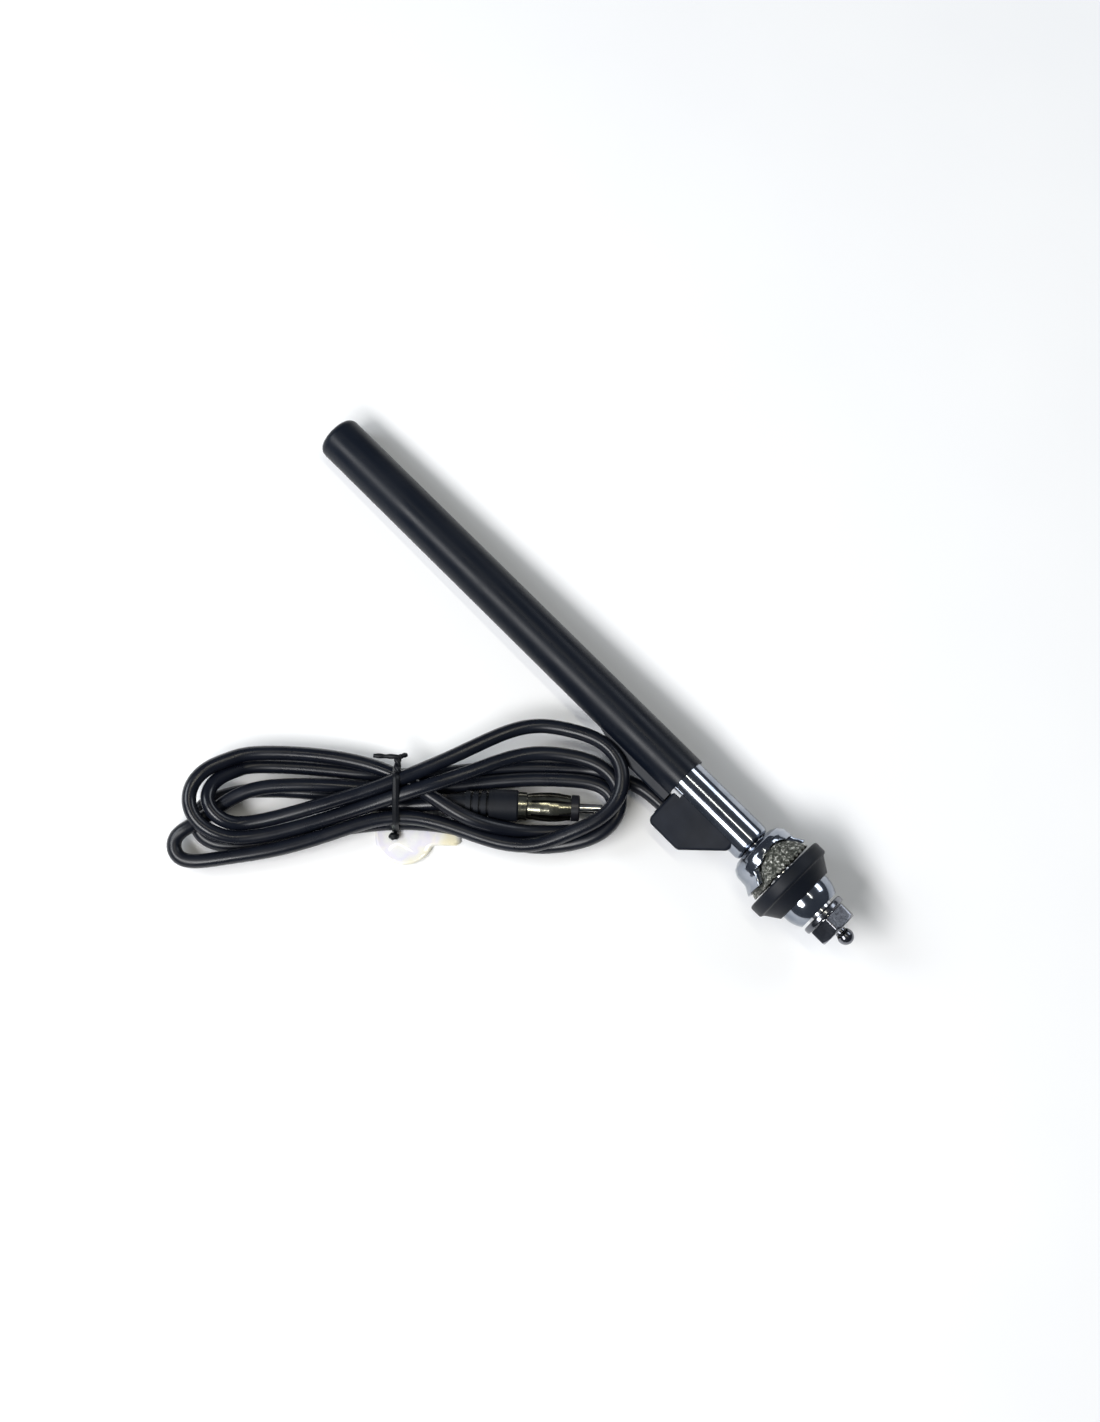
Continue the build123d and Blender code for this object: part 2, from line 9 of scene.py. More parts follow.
import bmesh
import bpy
import numpy as np
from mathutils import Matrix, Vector, noise


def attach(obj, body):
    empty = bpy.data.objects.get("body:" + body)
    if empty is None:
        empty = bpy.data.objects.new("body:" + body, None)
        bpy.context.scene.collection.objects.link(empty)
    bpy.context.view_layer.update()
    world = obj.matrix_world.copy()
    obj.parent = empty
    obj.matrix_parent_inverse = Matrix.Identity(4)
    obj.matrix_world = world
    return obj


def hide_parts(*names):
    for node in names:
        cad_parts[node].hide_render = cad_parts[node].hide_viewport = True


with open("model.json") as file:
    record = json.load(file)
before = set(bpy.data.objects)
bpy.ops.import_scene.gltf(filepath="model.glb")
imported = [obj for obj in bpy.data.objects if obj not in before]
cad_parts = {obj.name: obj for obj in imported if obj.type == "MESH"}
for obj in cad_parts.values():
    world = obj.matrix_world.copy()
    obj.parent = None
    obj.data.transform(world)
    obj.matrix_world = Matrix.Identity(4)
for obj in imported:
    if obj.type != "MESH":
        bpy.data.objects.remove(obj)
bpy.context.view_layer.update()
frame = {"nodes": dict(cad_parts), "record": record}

MM = 0.001
ROOT = "antenna"

# ---------------------------------------------------------------- how the antenna lies
TILT = radians(2.0)                     # nose up

# ---------------------------------------------------------------- lead, hank and plug
CORD_D = 4.7
LEAD_ROUTE = [(48.6, -8.86, 7.82), (41.0, -8.86, 7.55), (34.0, -10.4, 6.4), (27.2, -13.4, 4.8)]
HANK_TURN = radians(45.0)
HANK_MIDDLE = (-16.1, -66.7)
TIE_U = -1.3
PLUG_W = -2.6
PLUG_Z = 5.3


# ================================================================ the hank's turns
# The hank is four turns. Each crossing of it is one row: its distance across the hank, then how
# many cords lie under it, both at the five stations from the left end to the right.
STATIONS = (-50.0, -27.0, TIE_U, 20.0, 43.0)
CROSSINGS = [
    ((9.6, 8.8, 6.1, 7.6, 9.6), (0.3, 0.2, 0.0, 0.0, 0.0)),
    ((-10.2, -4.6, 3.4, 12.8, 23.4), (1.0, 1.6, 1.7, 2.1, 1.7)),
    ((-19.8, -14.6, -5.7, -9.6, -16.4), (1.0, 1.0, 1.0, 0.9, 0.8)),
    ((2.4, 2.6, 1.4, 2.6, 5.4), (1.0, 0.9, 0.2, 0.2, 0.6)),
    ((13.2, 13.0, 8.0, -6.0, -12.2), (1.3, 1.2, 1.2, 1.3, 0.0)),
    ((-14.4, -9.2, -1.2, 5.0, 14.4), (1.2, 1.1, 1.3, 2.0, 1.4)),
    ((-16.6, -12.0, -8.0, -9.6, -15.6), (0.0, 0.0, 0.0, 0.0, 0.0)),
    ((1.6, 1.6, -3.3, -2.5, -2.5), (0.0, 0.0, 0.0, 0.3, 0.6)),
]
# The bend after each crossing: how far along the hank it reaches, where its middle lies across
# it, its radius, and how many cords lie under it.
BENDS = [(-62.5, -1.6, 8.8, 1.0), (73.6, 4.6, 15.5, 2.3), (-72.8, -16.6, 5.9, 0.6),
         (70.4, -3.4, 8.6, 1.0), (-68.5, -2.0, 11.5, 1.8), (72.0, -0.6, 13.0, 1.7),
         (-66.5, -8.6, 7.4, 0.0)]
CROSSING_STEPS = 17
BEND_STEPS = 9
APPROACH_STEPS = 3
APPROACH_RISE = 0.6                     # share of a bend's climb made before its half circle
LAYER = 4.2                             # height that one cord underneath adds
# The lead's way into the hank, and the hank's way into the plug's boot: (u, w, height).
WAY_IN = [(62.0, 9.0, 2.9), (55.0, 9.6, 2.35), (49.0, 9.6, 2.35)]
WAY_OUT = [(11.5, -2.5, 4.9), (15.0, -2.42, 5.3), (18.0, -2.5, 5.3)]
TAIL_END_U = 8.0

# The plug's outline: where along the hank each stretch starts, and its radius.
PLUG_PROFILE = [(15.0, 2.9), (21.0, 3.6), (21.2, 5.15), (38.2, 4.75), (58.0, 1.65), (65.6, 0.0)]

EVENING_PASSES = 4                      # smoothing of the planned points before they settle
SETTLE_PASSES = 60
SETTLE_GAP = 1.01                       # spacing aimed at between turns, in cord diameters
SETTLE_SHARE = 0.6                      # part of each overlap that one pass takes out
NEIGHBOURS = 4                          # points along the cord that never count as a contact

# ---------------------------------------------------------------- tie and tag
# The tie band's section: distance along the hank and height, with the wire as its ridge.
TIE_SECTION = [(-1.1, 0.0), (-1.1, 0.2), (-0.55, 0.2), (-0.28, 0.42), (0.0, 0.5),
               (0.28, 0.42), (0.55, 0.2), (1.1, 0.2), (1.1, 0.0)]
TIE_GAP = 0.35                          # between the cord and the band
TIE_FLOOR = 0.35                        # lowest the band's line goes
TIE_SECTION_FLOOR = 0.3                 # lowest the cord sections that it goes round reach
TIE_SECTION_SIDES = 24
TIE_LEAN = 0.5                          # how far the band strays along the hank
TIE_DIRECTIONS = 72
TIE_WIRE_R = 0.75
# The twisted tail parts into two ends: name, phase of its twist, and (u, w, height) of its tip
# with w from the band's far edge and the height from its top.
TIE_ENDS = [("tie_end_left", 0.0, (-8.2, 2.2, -1.5)), ("tie_end_right", pi, (2.4, 2.8, -3.0))]
TAIL_POINTS = 27
TAIL_TWISTS = 2.2
TAIL_TWIST_R = 0.5
TAIL_PART = 1.8                         # how far past the band the two ends part
KNOT_POINTS = 60
KNOT_TURNS = 2.6
KNOT_LOOP = (0.3, 0.85)                 # its loops' radius at the ends, and how much more midway
KNOT_RUN = 1.3                          # how far across the hank it runs
KNOT_HEIGHT = 1.9

TAG_MIDDLE = (1.6, -12.2)
TAG_R = 9.7
TAG_TAIL_END = 18.0
TAG_TAIL_HALF = 3.3
TAG_THICK = 0.2
TAG_CURL = 1.3                          # how high its free edge curls up
TAG_CURL_START = -13.0                  # across the hank, where the curl begins
TAG_CURL_RUN = 9.0
TAG_RIPPLE = 0.1
TAG_LIFT = 0.06                         # of its underside off the surface
TAG_RINGS = 9
TAG_SIDES = 96


def eased(values, u):
    """Value at u on a smooth curve through the stations' values."""
    last = len(STATIONS) - 1
    k = max(i for i in range(last) if u >= STATIONS[i] or i == 0)
    run = STATIONS[k + 1] - STATIONS[k]
    t = (u - STATIONS[k]) / run

    def slope(i):
        if i in (0, last):
            return 0.0
        return (values[i + 1] - values[i - 1]) / (STATIONS[i + 1] - STATIONS[i - 1])

    rise = (values[k + 1] - values[k]) * t * t * (3 - 2 * t)
    tangents = t * (1 - t) ** 2 * slope(k) - t * t * (1 - t) * slope(k + 1)
    return values[k] + rise + run * tangents


def crossing_points(n):
    """Points (u, w, height) of one crossing; even ones run to the left."""
    across, under = CROSSINGS[n]
    span = STATIONS[-1] - STATIONS[0]
    places = [STATIONS[0] + span * i / CROSSING_STEPS for i in range(CROSSING_STEPS + 1)]
    if n % 2 == 0:
        places.reverse()
    if n == len(CROSSINGS) - 1:
        places = [u for u in places if u <= TAIL_END_U]
    return [(u, eased(across, u), CORD_D / 2 + LAYER * eased(under, u)) for u in places]


def approach_points(station, entry_u, start_w, entry_w, start_under, under):
    """Points (u, w, height) from a station out to where a bend's half circle begins."""
    points = []
    for i in range(1, APPROACH_STEPS + 1):
        t = i / (APPROACH_STEPS + 1)
        w = start_w + (entry_w - start_w) * t * t * (3 - 2 * t)
        level = start_under + (under - start_under) * t * APPROACH_RISE
        points.append((station + (entry_u - station) * t, w, CORD_D / 2 + LAYER * level))
    return points


def bend_points(n):
    """Points of the bend that joins crossing n to the next: a half circle and its two approaches."""
    side = 0 if n % 2 == 0 else -1
    start_w, end_w = CROSSINGS[n][0][side], CROSSINGS[n + 1][0][side]
    start_under, end_under = CROSSINGS[n][1][side], CROSSINGS[n + 1][1][side]
    reach, middle_w, radius, under = BENDS[n]
    out = 1 if side else -1
    turn = 1 if start_w > end_w else -1
    station, centre_u = STATIONS[side], reach - out * radius
    enter_w, leave_w = middle_w + turn * radius, middle_w - turn * radius
    way_in = approach_points(station, centre_u, start_w, enter_w, start_under, under)
    way_out = approach_points(station, centre_u, end_w, leave_w, end_under, under)
    arc = []
    for i in range(BEND_STEPS + 1):
        t = i / BEND_STEPS
        low = start_under if t < 0.5 else end_under
        level = low + (under - low) * (APPROACH_RISE + (1 - APPROACH_RISE) * sin(pi * t))
        arc.append((centre_u + out * radius * sin(pi * t),
                    middle_w + turn * radius * cos(pi * t), CORD_D / 2 + LAYER * level))
    return way_in + arc + way_out[::-1]


def plug_radius(u):
    """Radius of the plug at a place along the hank."""
    radius = 0.0
    for start, r in PLUG_PROFILE:
        if u >= start:
            radius = r
    return radius


def settle(points, fixed_start, fixed_end):
    """Push the cord out of itself, out of the plug and up off the surface, a little at a time."""
    home = np.array(points)
    for _ in range(EVENING_PASSES):
        home[2:-3] = (home[1:-4] + 2 * home[2:-3] + home[3:-2]) / 4
    count = len(home)
    order = np.arange(2 * count - 1) / 2
    apart = np.abs(order[:, None] - order[None, :]) > NEIGHBOURS
    free = np.ones((count, 1))
    free[:fixed_start] = 0
    free[count - fixed_end:] = 0
    width = CORD_D * SETTLE_GAP
    shift = np.zeros_like(home)
    for _ in range(SETTLE_PASSES):
        at = home + shift
        fine = np.empty((2 * count - 1, 3))
        fine[0::2] = at
        fine[1::2] = (at[1:] + at[:-1]) / 2
        between = fine[:, None, :] - fine[None, :, :]
        distance = np.linalg.norm(between, axis=2)
        touching = apart & (distance < width)
        depth = np.where(touching, (width - distance) / 2, 0)
        away = between / np.maximum(distance, 1e-6)[:, :, None]
        contacts = np.sqrt(np.maximum(touching.sum(axis=1), 1))
        push = (away * depth[:, :, None]).sum(axis=1) / contacts[:, None] * SETTLE_SHARE
        solid = np.array([plug_radius(u) for u in fine[:, 0]])
        off = fine[:, 1:] - np.array([PLUG_W, PLUG_Z])
        clear = np.linalg.norm(off, axis=1)
        inside = np.where(solid > 0, np.maximum(solid + CORD_D / 2 - clear, 0), 0)
        push[:, 1:] += off / np.maximum(clear, 1e-6)[:, None] * inside[:, None] / 2
        move = push[0::2].copy()
        move[:-1] += push[1::2] / 2
        move[1:] += push[1::2] / 2
        shift += move * free
        spread = shift.copy()
        spread[1:-1] = (shift[:-2] + 2 * shift[1:-1] + shift[2:]) / 4
        shift = spread * free
        shift[:, 2] = np.maximum(shift[:, 2], CORD_D / 2 - home[:, 2])
    return [tuple(p) for p in home + shift]


def hank_place(u, w, z):
    """Where a point of the hank's own plan lies, in metres."""
    x = HANK_MIDDLE[0] + u * cos(HANK_TURN) - w * sin(HANK_TURN)
    y = HANK_MIDDLE[1] + u * sin(HANK_TURN) + w * cos(HANK_TURN)
    return Vector((x, y, z)) * MM


def in_hank(point):
    """The hank's own (u, w, height) of a point given in millimetres."""
    x, y = point[0] - HANK_MIDDLE[0], point[1] - HANK_MIDDLE[1]
    turn = -HANK_TURN
    return (x * cos(turn) - y * sin(turn), x * sin(turn) + y * cos(turn), point[2])


def hank_route():
    """The cord's points from the end of the free lead to the plug, in the hank's plan."""
    points = [in_hank(LEAD_ROUTE[-1])] + WAY_IN
    for n in range(len(CROSSINGS)):
        points += crossing_points(n)
        if n < len(BENDS):
            points += bend_points(n)
    return settle(points + WAY_OUT, 1, len(WAY_OUT))


# ================================================================ meshes and curves
def new_object(name, data, look, replaces=(), body=ROOT):
    """Adds an object that rides on a body and may stand for CAD nodes."""
    piece = bpy.data.objects.new(name, data)
    bpy.context.scene.collection.objects.link(piece)
    data.materials.clear()
    data.materials.append(look)
    if replaces:
        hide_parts(*replaces)
    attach(piece, body)
    return piece


def mesh_from(name, verts, faces):
    """A smooth-shaded mesh of metre points, its normals outward."""
    mesh = bpy.data.meshes.new(name)
    mesh.from_pydata([tuple(v) for v in verts], [], faces)
    bm = bmesh.new()
    bm.from_mesh(mesh)
    bmesh.ops.recalc_face_normals(bm, faces=bm.faces)
    bm.to_mesh(mesh)
    bm.free()
    mesh.shade_smooth()
    return mesh


def ring_faces(rings, sides, first=0, closed=False):
    """Quads between rings of points that follow one another from the point numbered first."""
    faces = []
    for i in range(rings if closed else rings - 1):
        here, there = first + i * sides, first + (i + 1) % rings * sides
        for k in range(sides):
            m = (k + 1) % sides
            faces.append((here + k, here + m, there + m, there + k))
    return faces


def tube_mesh(name, path, radii, sides=10):
    """A capped tube round metre points, with a radius in millimetres at each."""
    count = len(path)
    verts = []
    normal = None
    for i, point in enumerate(path):
        before, after = path[max(i - 1, 0)], path[min(i + 1, count - 1)]
        along = (after - before).normalized()
        if normal is None:
            normal = along.orthogonal().normalized()
        normal = (normal - along * normal.dot(along)).normalized()
        side = along.cross(normal)
        for k in range(sides):
            a = 2 * pi * k / sides
            offset = normal * cos(a) + side * sin(a)
            verts.append(point + offset * radii[i] * MM)
    caps = [tuple(range(sides)), tuple((count - 1) * sides + k for k in range(sides))]
    return mesh_from(name, verts, ring_faces(count, sides) + caps)


def nurbs_line(name, points):
    """A curve of one open NURBS spline whose control points are these metre points."""
    curve = bpy.data.curves.new(name, "CURVE")
    curve.dimensions = "3D"
    spline = curve.splines.new("NURBS")
    spline.points.add(len(points) - 1)
    for target, point in zip(spline.points, points):
        target.co = (*point, 1.0)
    spline.order_u = 3
    spline.use_endpoint_u = True
    spline.resolution_u = 6
    return curve


# ================================================================ materials
class Nodes:
    """Shorthand for building one node material round a Principled shader."""

    def __init__(self, name):
        self.material = bpy.data.materials.new(name)
        self.material.use_nodes = True
        self.tree = self.material.node_tree
        self.shader = self.tree.nodes["Principled BSDF"]
        self.place = self.add("ShaderNodeTexCoord").outputs["Object"]

    def add(self, kind, **settings):
        node = self.tree.nodes.new(kind)
        for key, value in settings.items():
            if key in node.inputs:
                node.inputs[key].default_value = value
            else:
                setattr(node, key, value)
        return node

    def link(self, source, target):
        self.tree.links.new(source, target)

    def stretched(self, scale):
        """Object coordinates turned to lie along the antenna and scaled along each axis."""
        turned = self.add("ShaderNodeMapping", vector_type="TEXTURE")
        turned.inputs["Rotation"].default_value = (0.0, -TILT, 0.0)
        self.link(self.place, turned.inputs["Vector"])
        scaled = self.add("ShaderNodeMapping")
        scaled.inputs["Scale"].default_value = scale
        self.link(turned.outputs["Vector"], scaled.inputs["Vector"])
        return scaled.outputs["Vector"]

    def noise(self, scale, detail=4.0, vector=None, rough=0.55):
        node = self.add("ShaderNodeTexNoise", Scale=scale, Detail=detail, Roughness=rough)
        self.link(vector or self.place, node.inputs["Vector"])
        return node.outputs["Fac"]

    def ramp(self, value, stops):
        node = self.add("ShaderNodeValToRGB")
        elements = node.color_ramp.elements
        while len(elements) < len(stops):
            elements.new(0.5)
        for element, (position, colour) in zip(elements, stops):
            element.position = position
            element.color = (*colour, 1.0)
        self.link(value, node.inputs["Fac"])
        return node.outputs["Color"]

    def between(self, value, low, high):
        """A noise value spread from low to high."""
        node = self.add("ShaderNodeMapRange")
        for key, number in (("From Min", 0.3), ("From Max", 0.7), ("To Min", low), ("To Max", high)):
            node.inputs[key].default_value = number
        self.link(value, node.inputs["Value"])
        return node.outputs["Result"]

    def bump(self, value, depth, after=None):
        node = self.add("ShaderNodeBump", Strength=1.0, Distance=depth * MM)
        self.link(value, node.inputs["Height"])
        if after is not None:
            self.link(after, node.inputs["Normal"])
        return node.outputs["Normal"]

    def finish(self, colour, roughness, normal=None, **uniform):
        self.link(colour, self.shader.inputs["Base Color"])
        self.link(roughness, self.shader.inputs["Roughness"])
        if normal is not None:
            self.link(normal, self.shader.inputs["Normal"])
        for key, value in uniform.items():
            self.shader.inputs[key.replace("_", " ")].default_value = value
        return self.material


def plastic(name, dark, light, rough, grain, depth, stretch=(1, 1, 1), speck=0.0, shine=0.5):
    """Moulded or extruded plastic: cloudy colour, uneven gloss and a fine surface grain.

    rough is its middle roughness, grain the grain's noise scale and depth its height in
    millimetres; speck is how pale the dust on it is, and shine its specular level.
    """
    n = Nodes(name)
    lines = n.stretched(stretch)
    clouds = n.noise(90.0, 5.0, lines)
    fine = n.noise(grain, 3.0, lines)
    colour = n.ramp(clouds, [(0.35, dark), (0.68, light)])
    gloss = n.between(n.noise(60.0, 6.0), rough - 0.07, rough + 0.09)
    normal = n.bump(fine, depth)
    if speck:
        dust = n.ramp(n.noise(2600.0, 2.0), [(0.0, dark), (0.74, dark), (0.78, (speck,) * 3)])
        mix = n.add("ShaderNodeMix", data_type="RGBA", blend_type="LIGHTEN")
        mix.inputs["Factor"].default_value = 1.0
        n.link(colour, mix.inputs[6])
        n.link(dust, mix.inputs[7])
        colour = mix.outputs[2]
    return n.finish(colour, gloss, normal, Specular_IOR_Level=shine)


def metal(name, dull, bright, rough, scratch=0.004, stretch=(1, 1, 1), tarnish=0.0):
    """Plated or drawn metal: faint clouds, uneven gloss and, with a scratch depth, hairlines."""
    n = Nodes(name)
    lines = n.stretched(stretch)
    clouds = n.noise(140.0, 6.0)
    colour = n.ramp(clouds, [(0.36, dull), (0.6, bright)])
    hair = n.noise(1500.0, 3.0, lines, 0.7)
    gloss = n.between(hair, rough, rough + 0.06 + tarnish)
    normal = n.bump(hair, scratch) if scratch else None
    return n.finish(colour, gloss, normal, Metallic=1.0)


def cast_grit(name):
    """Rough bare zinc casting: grey-green pits between bright grains."""
    n = Nodes(name)
    grains = n.add("ShaderNodeTexVoronoi", Scale=1500.0, Randomness=1.0)
    n.link(n.place, grains.inputs["Vector"])
    pits = n.noise(950.0, 5.0, rough=0.8)
    colour = n.ramp(pits, [(0.44, (0.022, 0.025, 0.02)), (0.52, (0.085, 0.09, 0.075)),
                           (0.58, (0.28, 0.285, 0.25)), (0.62, (0.92, 0.92, 0.88))])
    gloss = n.between(n.noise(900.0, 4.0), 0.22, 0.6)
    first = n.bump(pits, 0.35)
    normal = n.bump(grains.outputs["Distance"], 0.12, first)
    return n.finish(colour, gloss, normal, Metallic=0.4)


def pearl_film(name):
    """Thin pale film with a faint cream and lilac sheen."""
    n = Nodes(name)
    broad = n.noise(75.0, 3.0)
    colour = n.ramp(broad, [(0.34, (0.86, 0.80, 0.58)), (0.45, (0.88, 0.86, 0.76)),
                            (0.53, (0.80, 0.78, 0.88)), (0.64, (0.86, 0.87, 0.86))])
    gloss = n.between(n.noise(240.0, 4.0), 0.16, 0.34)
    normal = n.bump(n.noise(500.0, 3.0), 0.03)
    return n.finish(colour, gloss, normal, Coat_Weight=0.5, Thin_Film_Thickness=420.0,
                    Thin_Film_IOR=1.4)


def floor_paper():
    """Pale matt studio floor."""
    n = Nodes("studio_paper")
    colour = n.ramp(n.noise(8.0, 3.0), [(0.3, (0.92, 0.92, 0.93)), (0.7, (0.95, 0.95, 0.95))])
    return n.finish(colour, n.between(n.noise(40.0), 0.75, 0.9), Specular_IOR_Level=0.1)


def make_looks():
    """Every material slot of the record, by name."""
    along_x = (0.06, 1.0, 1.0)
    return {
        "sleeve_plastic": plastic("sleeve_plastic", (0.003, 0.005, 0.010), (0.007, 0.010, 0.017),
                                  0.36, 1700.0, 0.006, along_x, 0.04, 0.2),
        "chrome": metal("chrome", (0.22, 0.245, 0.29), (0.34, 0.365, 0.41), 0.09, 0.0, along_x),
        "liner_plastic": plastic("liner_plastic", (0.6, 0.6, 0.56), (0.76, 0.76, 0.72), 0.5,
                                 900.0, 0.01),
        "brass": metal("brass", (0.5, 0.36, 0.14), (0.74, 0.57, 0.27), 0.24, 0.004, along_x),
        "plated_steel": metal("plated_steel", (0.4, 0.4, 0.42), (0.72, 0.73, 0.75), 0.16, 0.004),
        "white_nylon": plastic("white_nylon", (0.68, 0.66, 0.6), (0.84, 0.83, 0.79), 0.45,
                               900.0, 0.01),
        "block_plastic": plastic("block_plastic", (0.004, 0.006, 0.011), (0.009, 0.012, 0.020),
                                 0.5, 3000.0, 0.02, speck=0.03, shine=0.12),
        "rubber": plastic("rubber", (0.003, 0.005, 0.009), (0.007, 0.009, 0.015), 0.48,
                          2400.0, 0.012, speck=0.04, shine=0.2),
        "cast_zinc": cast_grit("cast_zinc"),
        "nut_chrome": metal("nut_chrome", (0.12, 0.125, 0.14), (0.24, 0.245, 0.27), 0.12, 0.0,
                            tarnish=0.08),
        "cable_jacket": plastic("cable_jacket", (0.003, 0.004, 0.008), (0.006, 0.008, 0.014),
                                0.27, 1300.0, 0.0015, shine=0.4),
        "tie_plastic": plastic("tie_plastic", (0.002, 0.003, 0.005), (0.006, 0.007, 0.010), 0.4,
                               1800.0, 0.02, shine=0.25),
        "tag_film": pearl_film("tag_film"),
        "boot_plastic": plastic("boot_plastic", (0.003, 0.004, 0.007), (0.007, 0.009, 0.014),
                                0.44, 2200.0, 0.02, shine=0.25),
        "nickel": metal("nickel", (0.13, 0.125, 0.09), (0.32, 0.31, 0.245), 0.14, 0.002,
                        tarnish=0.06),
        "ring_plastic": plastic("ring_plastic", (0.006, 0.006, 0.009), (0.012, 0.012, 0.016),
                                0.3, 1500.0, 0.01),
        "pin_plate": metal("pin_plate", (0.66, 0.65, 0.6), (0.86, 0.85, 0.82), 0.1, 0.002),
    }


# ================================================================ pieces
def build_cord(looks, points):
    """The whole lead as one cord: block, hank and plug tail."""
    route = [Vector(p) * MM for p in LEAD_ROUTE[:-1]] + [hank_place(*p) for p in points]
    curve = nurbs_line("lead_and_hank", route)
    curve.bevel_depth = CORD_D / 2 * MM
    curve.bevel_resolution = 5
    curve.use_fill_caps = True
    cord = new_object("lead_and_hank", curve, looks["cable_jacket"],
                      ("lead", "lead_hank"))
    on_cord = [frame["nodes"][name] for name in ("plug_boot", "plug_shell", "plug_insulator",
                                                 "plug_pin")]
    return cord, on_cord


def tie_outline(points):
    """Loop round the cord's sections at the tie, as (w, height) points of their convex hull."""
    reach = CORD_D / 2 + TIE_GAP
    rim = []
    for before, after in zip(points, points[1:]):
        if (before[0] - TIE_U) * (after[0] - TIE_U) <= 0 and before[0] != after[0]:
            share = (TIE_U - before[0]) / (after[0] - before[0])
            w = before[1] + (after[1] - before[1]) * share
            z = before[2] + (after[2] - before[2]) * share
            for k in range(TIE_SECTION_SIDES):
                a = 2 * pi * k / TIE_SECTION_SIDES
                rim.append((w + reach * cos(a), max(z + reach * sin(a), TIE_SECTION_FLOOR)))
    middle_w = sum(p[0] for p in rim) / len(rim)
    middle_z = sum(p[1] for p in rim) / len(rim)
    step = 2 * pi / TIE_DIRECTIONS
    reaches = []
    for k in range(TIE_DIRECTIONS):
        a = step * k
        reaches.append(max((w - middle_w) * cos(a) + (z - middle_z) * sin(a) for w, z in rim))
    loop = []
    for k, far in enumerate(reaches):
        a = step * k
        turn = (reaches[(k + 1) % TIE_DIRECTIONS] - reaches[k - 1]) / (2 * step)
        w = middle_w + far * cos(a) - turn * sin(a)
        z = middle_z + far * sin(a) + turn * cos(a)
        loop.append((w, max(z, TIE_FLOOR)))
    return loop


def tie_band(look, loop):
    """The tie's flat band with its raised wire, closed round the hank."""
    count = len(loop)
    verts = []
    for i, (w, z) in enumerate(loop):
        ahead, behind = loop[(i + 1) % count], loop[i - 1]
        out = Vector((ahead[1] - behind[1], behind[0] - ahead[0])).normalized()
        lean = TIE_LEAN * sin(2 * pi * i / count)
        for side, height in TIE_SECTION:
            verts.append(hank_place(TIE_U + side + lean, w + out[0] * height, z + out[1] * height))
    band = mesh_from("twist_tie", verts, ring_faces(count, len(TIE_SECTION), closed=True))
    new_object("twist_tie", band, look, ("twist_tie",))


def tie_tail(look, loop):
    """The twisted tail, which parts into two wavy ends."""
    edge_w = max(w for w, z in loop)
    top = max(z for w, z in loop)
    stem = (TIE_U + 0.9, edge_w - 3.2, top - 1.2)
    for name, phase, tip in TIE_ENDS:
        path = []
        for i in range(TAIL_POINTS):
            t = i / (TAIL_POINTS - 1)
            twist = phase + 2 * pi * TAIL_TWISTS * t
            spread = max(t - 0.5, 0.0) * 2
            held = TAIL_TWIST_R * (1 - spread)
            u = stem[0] + held * cos(twist) + (tip[0] - stem[0]) * spread
            w = stem[1] + (edge_w + TAIL_PART - stem[1]) * min(t * 2, 1.0)
            w += (tip[1] - TAIL_PART) * spread
            z = stem[2] + held * sin(twist) + (top + tip[2] - stem[2]) * spread
            path.append(hank_place(u, w, z))
        waves = [cos(8 * pi * i / (TAIL_POINTS - 1)) for i in range(TAIL_POINTS)]
        radii = [TIE_WIRE_R - 0.1 * wave for wave in waves]
        new_object(name, tube_mesh(name, path, radii), look)


def tie_knot(look, loop):
    """The tie's other end, wound into a small ball over the tag."""
    low_w = min(w for w, z in loop)
    path = []
    for i in range(KNOT_POINTS):
        t = i / (KNOT_POINTS - 1)
        a = 2 * pi * KNOT_TURNS * t
        loop_r = KNOT_LOOP[0] + KNOT_LOOP[1] * sin(pi * t)
        path.append(hank_place(TIE_U - 0.6 + loop_r * cos(a), low_w - 0.9 - KNOT_RUN * t,
                               KNOT_HEIGHT + loop_r * 0.8 * sin(a)))
    mesh = tube_mesh("tie_knot", path, [TIE_WIRE_R] * KNOT_POINTS)
    new_object("tie_knot", mesh, look)


def build_tie(look, points):
    """Wire tie: a band round the hank, a twisted tail with two ends, and a knot."""
    loop = tie_outline(points)
    tie_band(look, loop)
    tie_tail(look, loop)
    tie_knot(look, loop)


